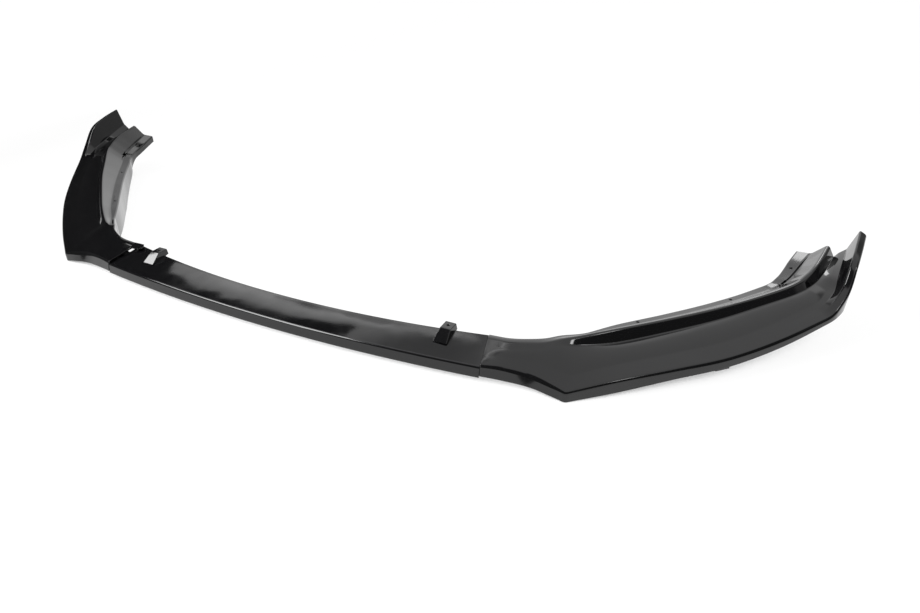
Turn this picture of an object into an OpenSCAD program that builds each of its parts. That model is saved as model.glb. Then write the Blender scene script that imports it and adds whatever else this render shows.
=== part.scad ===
// Three-piece front splitter lip: a long centre blade and two mirrored side blades with end fins.
// X runs across the car, Y runs back from the leading edge, Z is up from the ground plane.
// Each blade is one thin moulded shell. Its outer skin is lofted through named edge lines, and
// its inner skin is the outer one moved in by the wall.

/* [Shells] */
// Wall of every moulded blade
wall = 3; // [2.6:0.1:3.4]
// Fillet of the leading edge between front face and top
edge_fillet = 5; // [3:0.5:8]
// Fillet of the ridge's crest
crest_fillet = 7; // [5:0.5:9]
// Fillet in the foot of the ridge, outside and inside
foot_fillet = 4; // [2:0.5:6]
// Fillet of the narrow edges of the fin and the flange
rim_fillet = 2.5; // [1.5:0.5:4]

/* [Centre blade] */
// Half width of the visible centre blade, up to the seam with a side blade
seam_x = 376; // [340:2:400]
// How far the middle of the leading edge stands ahead of its ends
front_bow = 24; // [16:1:32]
// How far the middle of the rear edge stands ahead of its ends
rear_bow = 41; // [36:1:46]
// Depth of the centre blade at its middle, front to back
centre_depth = 52; // [46:1:58]
// Height of the centre blade's lower edge above the ground plane
centre_lift = 8; // [6:0.5:9]
// Height of the centre blade's front face
centre_face_h = 17; // [15:0.5:18]
// Rise of the centre blade's top from the leading edge to the rear edge
centre_rise = 13; // [9:1:15]
// How far the front face leans back over its height
face_rake = 3.5; // [1:0.5:5]

/* [Lap joints] */
// Length of the centre blade's tongue under each side blade
tongue_len = 28; // [24:1:32]
// Distance of the tongue's front face behind the blade's front face
tongue_setback = 5.5; // [5:0.5:7]
// Distance of the tongue's rear edge ahead of the blade's rear edge
tongue_rear_cut = 23; // [20:1:26]
// Gap between two parts of a lap joint
lap_gap = 0.3; // [0.2:0.05:0.5]
// How far the seam slants back towards the middle of the car
seam_slant = 15; // [10:1:18]
// Diameter of the joint screws' shanks
screw_d = 4.2; // [3.5:0.1:4.8]
// Diameter of the joint screws' pan heads
screw_head_d = 8; // [7:0.5:9]
// Height of the joint screws' pan heads
screw_head_h = 2.6; // [2:0.1:3.5]
// Outer diameter of the washers under the heads
washer_d = 12; // [10:0.5:13]
// Thickness of the washers
washer_h = 1; // [0.8:0.1:1.6]
// Outer diameter of the screw bosses under the side blades
boss_d = 9; // [8:0.5:10]
// Distance of the screws from the seam
screw_from_seam = 16; // [13:0.5:18]
// Distance of the front screw behind the leading edge
front_screw_y = 17; // [15:0.5:19]
// Distance of the rear screw behind the front one
screw_pitch = 20; // [16:0.5:22]
// Length of the locating lug past the seam
lug_len = 24; // [18:1:30]
// Width of the locating lug
lug_w = 16; // [12:1:18]

/* [Brackets] */
// Distance of each bracket's centre from the middle of the car
bracket_x = 299; // [270:1:320]
// Width of a bracket at its base
bracket_base_w = 24; // [21:1:30]
// Width of a bracket at its top
bracket_top_w = 18; // [15:1:20]
// Depth of a bracket at its base, front to back
bracket_base_d = 41; // [36:1:46]
// Depth of a bracket's flat top
bracket_top_d = 20; // [16:1:24]
// Height of a bracket's top above the centre blade's lower edge
bracket_top_h = 38; // [35:1:44]
// How far a bracket stands out behind the rear edge
bracket_overhang = 9; // [6:1:12]
// Wall of a bracket
bracket_wall = 2.5; // [2:0.1:3.5]
// Screw hole in a bracket's top
bracket_hole_d = 5; // [4:0.2:7]

/* [Side blades] */
// Height of the front face at the outer corner, where the fin starts
corner_face_h = 9; // [7:0.5:12]
// Run of the ridge's steep outer wall, seen from above
ridge_wall_run = 12; // [9:0.5:14]
// Width of the fin's front and top edge
fin_edge_w = 12; // [10:0.5:14]
// Rounded rise of the wide top between the leading edge and the ridge
top_crown = 2.5; // [0:0.5:4]
// Width of the mounting flange inside the ridge
flange_w = 18; // [16:0.5:20]
// Drop of the flange from the ridge's foot to its inner edge
flange_fall = 2; // [0:0.5:4]
// Diameter of the screw holes in the flange
flange_hole_d = 5; // [4:0.2:6.5]
// Length of the slot at the foot of the ridge
slot_len = 16; // [12:1:20]
// Width of the slot at the foot of the ridge
slot_w = 6; // [5:0.5:7]
// Length of the underside tab
tab_len = 24; // [18:1:30]
// How far the underside tab stands out below the front face
tab_drop = 4; // [2:0.5:6]

/* [Fineness] */
// Steps between two control stations of a side blade
side_steps = 3; // [2:1:4]
// Steps along the centre blade
centre_steps = 28; // [20:2:36]

/* [Hidden] */
$fn = 48;
moulded_black = "#15171a";
zinc = "#b9bdc2";

// Control stations of the right blade, from the seam to the rear end. Station 4 is the sharp
// front corner. Station 9 is the outer corner, where the leading edge turns up into the fin.
front_corner = 4;
outer_corner = 9;
sharp_stations = [front_corner, outer_corner];
// Leading edge: X from the seam, Y and height
edge_line = [
    [0, 0, 29], [32, 7, 29], [71, 13, 25], [104, 9, 21], [128, 5, 17],
    [188, 50, 27], [257, 106, 32], [324, 165, 35], [389, 236, 44], [453, 317, 58],
    [467, 352, 85], [471, 384, 117], [475, 425, 130], [478, 463, 137]];
// Height of the wide top's outer margin behind the outer corner
margin_h = [61, 64, 67, 69];
// Depth of the centre blade at the seam, and how far the seam slants inwards for each mm back
seam_depth = centre_depth - front_bow + rear_bow;
seam_slope = seam_slant / seam_depth;
// Crest of the ridge. On stations 0 to 3 it is still near the rear edge of the narrow neck.
crest_line = [
    [-53 * seam_slope, 53, 40], [27, 50, 46], [67, 65, 48], [92, 83, 52], [120, 101, 57],
    [164, 134, 62], [227, 188, 66], [289, 244, 71], [346, 303, 77], [389, 350, 85],
    [406, 380, 92], [416, 408, 98], [423, 440, 102], [429, 474, 106]];
// Front face: its height from the leading edge down, and how far it leans back
face_h = [18, 19, 17, 16, 17, 20, 16, 14, 12, corner_face_h, 34, 63, 74, 79];
face_lean = [face_rake, 5, 6, 4, 0, 1, 2, 2, 2, 1, -1, -3, -4, -5];
// Ridge: drop of its outer wall, then run and drop of its inner face
wall_drop = [2, 4, 4, 4, 13, 19, 18, 16, 13, 13, 15, 17, 18, 19];
slope_run = [6, 6, 8, 9, 13, 16, 21, 27, 30, 31, 31, 31, 28, 23];
slope_drop = [-0.5, -0.5, 0, 3, 10, 12, 15, 18, 21, 25, 27, 28, 26, 24];
// Share of the flange's width at each station
flange_share = [0.4, 0.4, 0.42, 0.44, 0.55, 0.9, 1, 1, 1, 1, 1.05, 1.15, 1.25, 1.35];
// Height of the skirt that hangs from the flange's inner edge
skirt_h = [5, 5, 8, 24, 46, 50, 51, 43, 32, 22, 15, 14, 14, 14];
// Foot of the fin's inner face, and the facet below it: distance from the leading edge, and
// height over the wide top
foot_run = [15, 15, 16, 18, 20, 22, 22, 22, 22, 23, 23, 24, 24, 23];
foot_rise = [0, 0, 0, 0, 0, 0, 0, 0, 0, 0, 6, 11, 19, 26];
facet_run = [19, 18, 20, 25, 30, 32, 32, 32, 32, 31, 33, 35, 34, 33];
facet_rise = [0, 0, 0, 0, 0, 0, 0, 0, 0, 0, 2, 5, 8, 11];
// Where the flange holes, the slot and the underside tab are, in stations
hole_stations = [5.45, 7.5, 11.2];
slot_station = 9.7;
tab_station = 6.9;

last_station = len(edge_line) - 1;
margin_line = [for (k = [0 : last_station])
    k <= outer_corner ? edge_line[k][2] : margin_h[k - outer_corner - 1]];

// Value of a list at the place t, on a Catmull-Rom spline that breaks at the sharp stations
function breaks_at(k, sharp) = len([for (s = sharp) if (s == k) s]) > 0;
function value_before(list, k, sharp) =
    k == 0 || breaks_at(k, sharp) ? 2 * list[k] - list[k + 1] : list[k - 1];
function value_after(list, k, sharp) =
    k + 2 == len(list) || breaks_at(k + 1, sharp) ? 2 * list[k + 1] - list[k] : list[k + 2];
function spline(a, b, c, d, u) =
    b + u / 2 * (c - a + u * (2 * a - 5 * b + 4 * c - d + u * (3 * (b - c) + d - a)));
function along(list, t, sharp = []) =
    let (k = min(floor(t), len(list) - 2))
    spline(value_before(list, k, sharp), list[k], list[k + 1], value_after(list, k, sharp), t - k);

function unit(v) = v / norm(v);
function flat(v) = [v[0], v[1], 0];
function up(h) = [0, 0, h];

// Width of the top from which it has its whole crown
crown_span = 90;

// Corner points of the right blade's section at the place t, from the lower front edge over the
// fin, the wide top and the ridge to the foot of the skirt
function side_corners(t) =
    let (
        edge = along(edge_line, t, sharp_stations) + [seam_x + lap_gap, 0, 0],
        margin = along(margin_line, t, sharp_stations),
        crest = along(crest_line, t) + [seam_x + lap_gap, 0, 0],
        inward = unit(flat(crest - edge)),
        foot = crest - inward * ridge_wall_run - up(along(wall_drop, t)),
        span = norm(flat(foot - edge)),
        climb = (foot[2] - margin) / span,
        on_top = function (run, rise) flat(edge) + inward * run + up(margin + climb * run + rise),
        rim = on_top(fin_edge_w, edge[2] - margin),
        fin_foot = on_top(along(foot_run, t), along(foot_rise, t)),
        facet = on_top(along(facet_run, t), along(facet_rise, t)),
        crown = top_crown * max(0, min(1, outer_corner + 1 - t, span / crown_span)),
        valley = crest + inward * along(slope_run, t) - up(along(slope_drop, t)),
        share = along(flange_share, t),
        flange = valley + inward * flange_w * share - up(flange_fall * share),
        skirt = flat(flange) + up(max(0, flange[2] - along(skirt_h, t))),
        lower = flat(edge - inward * along(face_lean, t))
            + up(max(0, edge[2] - along(face_h, t, sharp_stations)))
    )
    [lower, edge, rim, fin_foot, facet,
        facet + (foot - facet) * 0.35 + up(crown), facet + (foot - facet) * 0.7 + up(crown),
        foot, crest, valley, flange, skirt];
// Fillet and number of steps at each of these corners
side_fillets = [0, edge_fillet, rim_fillet, 0, 0, 0, 0, foot_fillet, crest_fillet, foot_fillet,
    rim_fillet, 0];
side_fillet_steps = [0, 3, 1, 0, 0, 0, 0, 2, 4, 2, 1, 0];

// Corner j of a section, rounded by a curve that starts and ends a fillet away from it
function rounded(corners, j, fillet, steps) =
    steps == 0 ? [corners[j]] :
    let (
        to_last = corners[j - 1] - corners[j],
        to_next = corners[j + 1] - corners[j],
        reach = min(fillet, 0.45 * norm(to_last), 0.45 * norm(to_next)),
        start = corners[j] + unit(to_last) * reach,
        end = corners[j] + unit(to_next) * reach
    )
    [for (i = [0 : steps]) let (u = i / steps)
        start * (1 - u) * (1 - u) + corners[j] * 2 * u * (1 - u) + end * u * u];
function section(corners, fillets, steps) =
    [for (j = [0 : len(corners) - 1]) each rounded(corners, j, fillets[j], steps[j])];

// Inner skin of a shell: each point moved in by the wall, square to the faces on both its sides
function inner_point(rings, i, j) =
    let (
        last_i = len(rings) - 1,
        last_j = len(rings[0]) - 1,
        lengthwise = rings[min(i + 1, last_i)][j] - rings[max(i - 1, 0)][j],
        across_before = rings[i][max(j, 1)] - rings[i][max(j, 1) - 1],
        across_after = rings[i][min(j, last_j - 1) + 1] - rings[i][min(j, last_j - 1)],
        normal_before = unit(cross(lengthwise, across_before)),
        normal_after = unit(cross(lengthwise, across_after))
    )
    rings[i][j] - wall * (normal_before + normal_after) / (1 + normal_before * normal_after);

// Closed solid between two skins, each a list of rings of points
module between(outer, inner) {
    rows = len(outer[0]);
    stations = len(outer);
    under = stations * rows;
    function at(i, j) = i * rows + j;
    function quad(a, b, c, d) = [[a, b, c], [a, c, d]];
    polyhedron(
        points = [for (skin_rings = [outer, inner]) for (ring = skin_rings) each ring],
        faces = concat(
            [for (i = [0 : stations - 2]) for (j = [0 : rows - 2])
                each quad(at(i, j), at(i, j + 1), at(i + 1, j + 1), at(i + 1, j))],
            [for (i = [0 : stations - 2]) for (j = [0 : rows - 2])
                each quad(under + at(i, j), under + at(i + 1, j),
                    under + at(i + 1, j + 1), under + at(i, j + 1))],
            [for (i = [0 : stations - 2]) each quad(at(i, 0), at(i + 1, 0),
                under + at(i + 1, 0), under + at(i, 0))],
            [for (i = [0 : stations - 2]) each quad(at(i + 1, rows - 1), at(i, rows - 1),
                under + at(i, rows - 1), under + at(i + 1, rows - 1))],
            [for (j = [0 : rows - 2]) each quad(at(0, j + 1), at(0, j),
                under + at(0, j), under + at(0, j + 1))],
            [for (j = [0 : rows - 2]) each quad(at(stations - 1, j), at(stations - 1, j + 1),
                under + at(stations - 1, j + 1), under + at(stations - 1, j))]),
        convexity = 10);
}
module shell(rings) {
    between(rings, [for (i = [0 : len(rings) - 1])
        [for (j = [0 : len(rings[0]) - 1]) inner_point(rings, i, j)]]);
}

// Centre blade: leading edge and rear edge as bows, seen from above
function front_y(x) = -front_bow * (1 - pow(x / seam_x, 2));
function rear_y(x) = centre_depth - front_bow + rear_bow * pow(x / seam_x, 2);
top_z = centre_lift + centre_face_h;
function top_at(x, y) = top_z + centre_rise * (y - front_y(x)) / (rear_y(x) - front_y(x));

// The section at a share of the half width. Its ends slant with the seam.
function centre_section(share) =
    let (
        front_x = share * seam_x,
        rear_x = share * (seam_x - seam_slant),
        lower = [front_x, front_y(front_x) - face_rake, centre_lift],
        edge = [front_x, front_y(front_x), top_z],
        rear = [rear_x, rear_y(rear_x), top_z + centre_rise]
    )
    section([lower, edge, edge + (rear - edge) / 2, rear], [0, edge_fillet, 0, 0], [0, 3, 0, 0]);

// The tongue's section: the same surface, a wall lower and cut back at both sides. It starts
// inside the blade, and the small overlap makes the two one piece.
tongue_root = 12;
tongue_overlap = 0.4;
tongue_drop = wall - tongue_overlap;
function tongue_section(x) =
    let (
        edge_y = front_y(x) + tongue_setback,
        end_y = rear_y(x) - tongue_rear_cut,
        edge = [x, edge_y, top_at(x, edge_y) - tongue_drop],
        lower = [x, edge_y - face_rake, centre_lift],
        rear = [x, end_y, top_at(x, end_y) - tongue_drop]
    )
    section([lower, edge, rear], [0, edge_fillet, 0], [0, 2, 0]);

// Places of the joint screws on the right side. A screw stands square to the tongue.
screw_x = seam_x + screw_from_seam;
screw_tilt = atan(centre_rise / (rear_y(screw_x) - front_y(screw_x)));
module at_screw(y) {
    translate([screw_x, y, top_at(screw_x, y) - tongue_drop])
        rotate([screw_tilt, 0, 0])
            children();
}
front_screw = front_y(screw_x) + front_screw_y;
screw_rows = [front_screw, front_screw + screw_pitch];

module tongue() {
    shell([for (x = [seam_x - tongue_root, seam_x, screw_x, seam_x + tongue_len])
        tongue_section(x)]);
}

bracket_rear = rear_y(bracket_x) + bracket_overhang;
bracket_floor = top_at(bracket_x, rear_y(bracket_x)) - 2 * wall;
bracket_top = centre_lift + bracket_top_h;
skin = 0.01;
// Tapered box whose rear face is upright, drawn in by a margin on every side
module bracket_block(margin) {
    hull() {
        translate([bracket_x - bracket_base_w / 2 + margin, bracket_rear - bracket_base_d + margin,
            bracket_floor])
            cube([bracket_base_w - 2 * margin, bracket_base_d - 2 * margin, skin]);
        translate([bracket_x - bracket_top_w / 2 + margin, bracket_rear - bracket_top_d + margin,
            bracket_top - margin - skin])
            cube([bracket_top_w - 2 * margin, bracket_top_d - 2 * margin, skin]);
    }
}
// Part of the bracket's block that would stick out below the blade's skin
module below_blade() {
    tilt = atan(centre_rise / (rear_y(bracket_x) - front_y(bracket_x)));
    translate([bracket_x, rear_y(bracket_x), top_at(bracket_x, rear_y(bracket_x)) - wall])
        rotate([tilt, 0, 0])
            translate([-bracket_base_w, -2 * bracket_base_d, -bracket_top_h])
                cube([2 * bracket_base_w, 2 * bracket_base_d, bracket_top_h]);
}

module both_sides() {
    children();
    mirror([1, 0, 0]) children();
}

module centre_blade() {
    color(moulded_black)
    difference() {
        union() {
            shell([for (i = [-centre_steps / 2 : centre_steps / 2])
                centre_section(2 * i / centre_steps)]);
            both_sides() tongue();
            both_sides() difference() {
                bracket_block(0);
                below_blade();
            }
        }
        both_sides() {
            translate(up(-skin)) bracket_block(bracket_wall);
            translate([bracket_x, bracket_rear - bracket_top_d / 2, bracket_top - 2 * bracket_wall])
                cylinder(d = bracket_hole_d, h = 3 * bracket_wall);
            for (y = screw_rows)
                at_screw(y) translate(up(-2 * wall))
                    cylinder(d = screw_d + 2 * lap_gap, h = 3 * wall);
        }
    }
}

// Middle of the flange at a station, and the way along it
function flange_middle(t) = let (c = side_corners(t)) (c[9] + c[10]) / 2;
function flange_angle(t) =
    let (way = side_corners(t + 0.2)[9] - side_corners(t - 0.2)[9])
    atan2(way[1], way[0]);

module side_shell() {
    difference() {
        union() {
            shell([for (i = [0 : last_station * side_steps])
                section(side_corners(i / side_steps), side_fillets, side_fillet_steps)]);
            screw_bosses();
            fin_end();
            underside_tab();
        }
        for (t = hole_stations)
            translate(flange_middle(t) - up(3 * wall))
                cylinder(d = flange_hole_d, h = 6 * wall);
        translate(flat(side_corners(slot_station)[9]) + up(side_corners(slot_station)[9][2] - wall))
            rotate([0, 0, flange_angle(slot_station)])
                translate([-slot_len / 2, -slot_w / 2, -wall])
                    cube([slot_len, slot_w, 4 * wall]);
        for (y = screw_rows)
            at_screw(y) translate(up(-wall))
                cylinder(d = screw_d + lap_gap, h = wall + screw_reach);
    }
}

// Screw bosses reach from the tongue's top into the wall above it, which cuts them off
screw_reach = 5.5;
boss_top = 14;
module screw_bosses() {
    difference() {
        for (y = screw_rows)
            at_screw(y) translate(up(lap_gap)) cylinder(d = boss_d, h = boss_top);
        above_tongue();
    }
}
module above_tongue() {
    tops = [for (i = [0 : 2 * side_steps]) let (c = side_corners(i / side_steps))
        [for (j = [1 : 8]) c[j] - up(wall / 2)]];
    between([for (ring = tops) [for (p = ring) p + up(2 * boss_top)]], tops);
}

// Thin wall that closes the rear end of the hollow fin
module fin_end() {
    c = side_corners(last_station);
    back = unit(side_corners(last_station - 0.1)[0] - c[0]);
    inset = (c[3] - c[1]) * 0.12;
    face = [c[0] + inset, c[1] + inset - up(1), c[2] - inset - up(1), c[3] - inset,
        flat(c[3]) + up(c[0][2] + wall)];
    hull()
        for (p = face, reach = [0, wall])
            translate(p + back * reach) cube(skin);
}

module underside_tab() {
    c = side_corners(tab_station);
    next = side_corners(tab_station + 0.2);
    angle = atan2(next[0][1] - c[0][1], next[0][0] - c[0][0]);
    translate(c[0])
        rotate([0, 0, angle])
            translate([-tab_len / 2, 0.7 * wall, -tab_drop])
                cube([tab_len, wall, tab_drop + 0.6 * face_h[7]]);
}

// Locating lug at the rear of the seam, drawn flat from its root in the side blade. Its level
// is the height of its tip over the centre blade's top.
lug_front_y = rear_y(seam_x) - tongue_rear_cut + 2;
lug_thick = 2.5;
// The root runs inside the side blade's wall, a little below the centre blade's top
root_level = -0.3;
module lug(level) {
    x = seam_x - seam_slant / 2;
    root = 14;
    ramp = 7;
    tilt = atan(centre_rise / (rear_y(x) - front_y(x)));
    translate([x, lug_front_y, top_at(x, lug_front_y)])
        rotate([tilt, 0, 0])
            rotate([90, 0, 0])
                translate([0, 0, -lug_w])
                    linear_extrude(lug_w)
                        polygon([[root, root_level], [ramp, root_level], [1, level],
                            [-lug_len, level], [-lug_len, level + lug_thick],
                            [2, level + lug_thick], [ramp + 1, root_level + lug_thick],
                            [root, root_level + lug_thick]]);
}

module right_blade() {
    color(moulded_black) {
        side_shell();
        lug(-wall - lap_gap - lug_thick);
    }
}

module left_blade() {
    color(moulded_black) mirror([1, 0, 0]) {
        side_shell();
        lug(wall);
    }
}

module screw() {
    color(zinc) {
        translate(up(-wall - washer_h - 2 * lap_gap - screw_head_h))
            cylinder(d1 = 0.7 * screw_head_d, d2 = screw_head_d, h = screw_head_h);
        translate(up(-wall - washer_h - 2 * lap_gap))
            cylinder(d = screw_d, h = wall + washer_h + 2 * lap_gap + screw_reach - 1);
    }
}

module washer() {
    color(zinc) translate(up(-wall - washer_h - lap_gap)) difference() {
        cylinder(d = washer_d, h = washer_h);
        translate(up(-1)) cylinder(d = screw_d + 2 * lap_gap, h = washer_h + 2);
    }
}

module right_front_screw() at_screw(screw_rows[0]) screw();
module right_rear_screw() at_screw(screw_rows[1]) screw();
module left_front_screw() mirror([1, 0, 0]) right_front_screw();
module left_rear_screw() mirror([1, 0, 0]) right_rear_screw();
module right_front_washer() at_screw(screw_rows[0]) washer();
module right_rear_washer() at_screw(screw_rows[1]) washer();
module left_front_washer() mirror([1, 0, 0]) right_front_washer();
module left_rear_washer() mirror([1, 0, 0]) right_rear_washer();

// The frame's origin is under the middle of the whole lip
front_end = front_y(0) - face_rake;
rear_end = max([for (c = side_corners(last_station)) c[1]]);
module in_frame() {
    translate([0, -(front_end + rear_end) / 2, 0]) children();
}

in_frame() centre_blade();
in_frame() left_blade();
in_frame() right_blade();
in_frame() left_front_screw();
in_frame() left_rear_screw();
in_frame() right_front_screw();
in_frame() right_rear_screw();
in_frame() left_front_washer();
in_frame() left_rear_washer();
in_frame() right_front_washer();
in_frame() right_rear_washer();
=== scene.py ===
import math
from functools import partial

import bmesh
import bpy
import numpy as np
from mathutils import Matrix, Vector


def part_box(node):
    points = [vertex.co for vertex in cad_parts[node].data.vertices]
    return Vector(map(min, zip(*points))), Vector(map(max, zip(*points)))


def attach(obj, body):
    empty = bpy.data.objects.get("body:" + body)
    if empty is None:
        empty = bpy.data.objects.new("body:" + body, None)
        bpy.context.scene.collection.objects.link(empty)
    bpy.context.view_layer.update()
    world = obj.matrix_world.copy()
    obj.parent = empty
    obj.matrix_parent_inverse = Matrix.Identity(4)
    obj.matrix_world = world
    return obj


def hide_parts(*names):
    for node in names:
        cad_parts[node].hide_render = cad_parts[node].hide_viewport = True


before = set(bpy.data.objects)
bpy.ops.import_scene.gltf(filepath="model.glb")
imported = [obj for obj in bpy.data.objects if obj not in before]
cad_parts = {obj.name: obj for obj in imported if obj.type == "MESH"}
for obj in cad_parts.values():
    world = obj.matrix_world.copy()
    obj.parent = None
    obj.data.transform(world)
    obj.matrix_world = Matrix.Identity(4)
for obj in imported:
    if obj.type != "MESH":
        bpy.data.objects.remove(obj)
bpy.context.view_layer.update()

# All sizes are in millimetres until a mesh is made, and X, Y and Z run as in the frame.
MM = 0.001

# Shells
WALL = 3.0
EDGE_FILLET = 5.0
CREST_FILLET = 7.5
FOOT_FILLET = 4.5
RIM_FILLET = 3.0
CREASE_FILLET = 1.2
CUT_EDGE_BEVEL = 0.7
ROLL = [math.radians(a) for a in (90, 60, 30)]

# Centre blade
SEAM_X = 376.0
FRONT_BOW = 24.0
REAR_BOW = 41.0
CENTRE_DEPTH = 52.0
CENTRE_LIFT = 8.0
CENTRE_FACE_H = 17.0
CENTRE_RISE = 13.0
CENTRE_SCOOP = 0.9
FACE_RAKE = 3.5
SEAM_SLANT = 15.0
SEAM_DEPTH = CENTRE_DEPTH - FRONT_BOW + REAR_BOW
TOP_Z = CENTRE_LIFT + CENTRE_FACE_H
LAP_GAP = 0.3
TONGUE_LEN = 28.0
TONGUE_ROOT = 12.0
TONGUE_OVERLAP = 0.4
TONGUE_SETBACK = 5.5
TONGUE_REAR_CUT = 23.0

# Joint screws
SCREW_D = 4.2
SCREW_HEAD_D = 8.0
SCREW_HEAD_H = 2.6
SCREW_HEAD_STEPS = 8
SCREW_REACH = 5.5
SCREW_TIP = 0.5
RECESS_LEN = 0.6 * SCREW_HEAD_D
RECESS_W = 0.9
RECESS_DEPTH = 0.6 * SCREW_HEAD_H
THREAD_PITCH = 1.4
THREAD_DEPTH = 0.35
THREAD_SIDES = 24
THREAD_HALF_W = 0.4
THREAD_ROOT = 0.2
WASHER_D = 12.0
WASHER_H = 1.0
WASHER_ROUND = 0.25
SCREW_X = SEAM_X + 16.0
FRONT_SCREW_Y = 17.0
SCREW_PITCH = 20.0
BOSS_D = 9.0
BOSS_TOP = 14.0

# Brackets
BRACKET_X = 299.0
BRACKET_BASE = (24.0, 41.0)
BRACKET_TOP = (18.0, 20.0)
BRACKET_TOP_Z = CENTRE_LIFT + 38.0
BRACKET_OVERHANG = 9.0
BRACKET_WALL = 2.5
BRACKET_HOLE_D = 5.0
BRACKET_ROUND = 0.9

# Side blades
RIDGE_WALL_RUN = 12.0
FIN_EDGE_W = 12.0
TOP_CROWN = 2.5
CROWN_SPAN = 90.0
FLANGE_W = 18.0
FLANGE_FALL = 2.0
FLANGE_HOLE_D = 5.0
HOLE_CHAMFER = 0.4
SLOT_LEN = 16.0
SLOT_W = 6.0
POCKET_WALL = 1.5
POCKET_SINK = 1.0
POCKET_RIDGE_TOP = 2.2
GROOVE_W = 5.0
GROOVE_DEPTH = 2.0
GROOVE_RINGS = 40
GROOVE_END_SIZE = 0.15
GROOVE_FADE = 4
GROOVE_OUTLINE = [(-1, 0.5), (-0.6, -0.6), (0, -1), (0.6, -0.6), (1, 0.5), (1, 3), (-1, 3)]
TAB_LEN = 24.0
TAB_DROP = 4.0
TAB_INSET = 0.7 * WALL
LUG_LEN = 24.0
LUG_ROOT = 14
LUG_RAMP = 7
LUG_BEHIND_CUT = 2
LUG_W = 16.0
LUG_THICK = 2.5
LUG_ROOT_LEVEL = -0.3
LUG_TIP_CUT = 5.0
LUG_ROUND = 0.8

# Control stations of a side blade, from the seam to the rear end
FRONT_CORNER = 4
OUTER_CORNER = 9
SHARP = (FRONT_CORNER, OUTER_CORNER)
FRONT_SOFT = (0.25, 0.1)
OUTER_SOFT = (0.12, 0.3)
EDGE_LINE = [
    (0, 0, 29), (32, 7, 29), (71, 13, 25), (104, 9, 21), (128, 5, 17), (188, 50, 27), (257, 106, 32),
    (324, 165, 35), (389, 236, 44), (453, 317, 58), (467, 352, 85), (471, 384, 117), (475, 425, 130),
    (478, 463, 137)]
MARGIN_H = [61, 64, 67, 69]
CREST_LINE = [
    (-53 * SEAM_SLANT / SEAM_DEPTH, 53, 40), (27, 50, 46), (67, 65, 48), (92, 83, 52), (120, 101, 57),
    (164, 134, 62), (227, 188, 66), (289, 244, 71), (346, 303, 77), (389, 350, 85), (406, 380, 92),
    (416, 408, 98), (423, 440, 102), (429, 474, 106)]
FACE_H = [18, 19, 17, 16, 17, 20, 16, 14, 12, 9, 34, 63, 74, 79]
FACE_LEAN = [FACE_RAKE, 5, 6, 4, 0, 1, 2, 2, 2, 1, -1, -3, -4, -5]
WALL_DROP = [2, 4, 4, 4, 13, 19, 18, 16, 13, 13, 15, 17, 18, 19]
SLOPE_RUN = [6, 6, 8, 9, 13, 16, 21, 27, 30, 31, 31, 31, 28, 23]
SLOPE_DROP = [-0.5, -0.5, 0, 3, 10, 12, 15, 18, 21, 25, 27, 28, 26, 24]
FLANGE_SHARE = [0.4, 0.4, 0.42, 0.44, 0.55, 0.9, 1, 1, 1, 1, 1.05, 1.15, 1.25, 1.35]
SKIRT_H = [5, 5, 8, 24, 46, 50, 51, 43, 32, 22, 15, 14, 14, 14]
FOOT_RUN = [15, 15, 16, 18, 20, 22, 22, 22, 22, 23, 23, 24, 24, 23]
FOOT_RISE = [0, 0, 0, 0, 0, 0, 0, 0, 0, 0, 6, 11, 19, 26]
FACET_RUN = [19, 18, 20, 25, 30, 32, 32, 32, 32, 31, 33, 35, 34, 33]
FACET_RISE = [0, 0, 0, 0, 0, 0, 0, 0, 0, 0, 2, 5, 8, 11]
HOLE_STATIONS = (5.45, 7.5, 11.2)
SLOT_STATION = 9.7
GROOVE_STATIONS = (8.7, 12.6)
TAB_STATION = 6.9

# Fineness
RINGS_A_STATION = 14
CENTRE_RINGS = 96
CROWN_STEPS = 8
ROUND_SIDES = 40
FIN_POINTS = 18

# The front end of the centre blade ties the millimetres to the frame
SHIFT_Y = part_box("centre_blade")[0].y / MM + FRONT_BOW + FACE_RAKE


# Curves and sections

def unit(v):
    return v / np.linalg.norm(v)


def flat(v):
    return np.array([v[0], v[1], 0.0])


def up(h):
    return np.array([0.0, 0.0, h])


def along(values, t, sharp=()):
    """Value of a list at the place t, on a Catmull-Rom spline that breaks at the sharp stations."""
    values = np.asarray(values, float)
    k = min(int(math.floor(t)), len(values) - 2)
    u = t - k
    b, c = values[k], values[k + 1]
    a = 2 * b - c if k == 0 or k in sharp else values[k - 1]
    d = 2 * c - b if k + 2 == len(values) or k + 1 in sharp else values[k + 2]
    return b + u / 2 * (c - a + u * (2 * a - 5 * b + 4 * c - d + u * (3 * (b - c) + d - a)))


MARGIN = [EDGE_LINE[k][2] if k <= OUTER_CORNER else MARGIN_H[k - OUTER_CORNER - 1]
          for k in range(len(EDGE_LINE))]
LAST_STATION = len(EDGE_LINE) - 1


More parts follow.
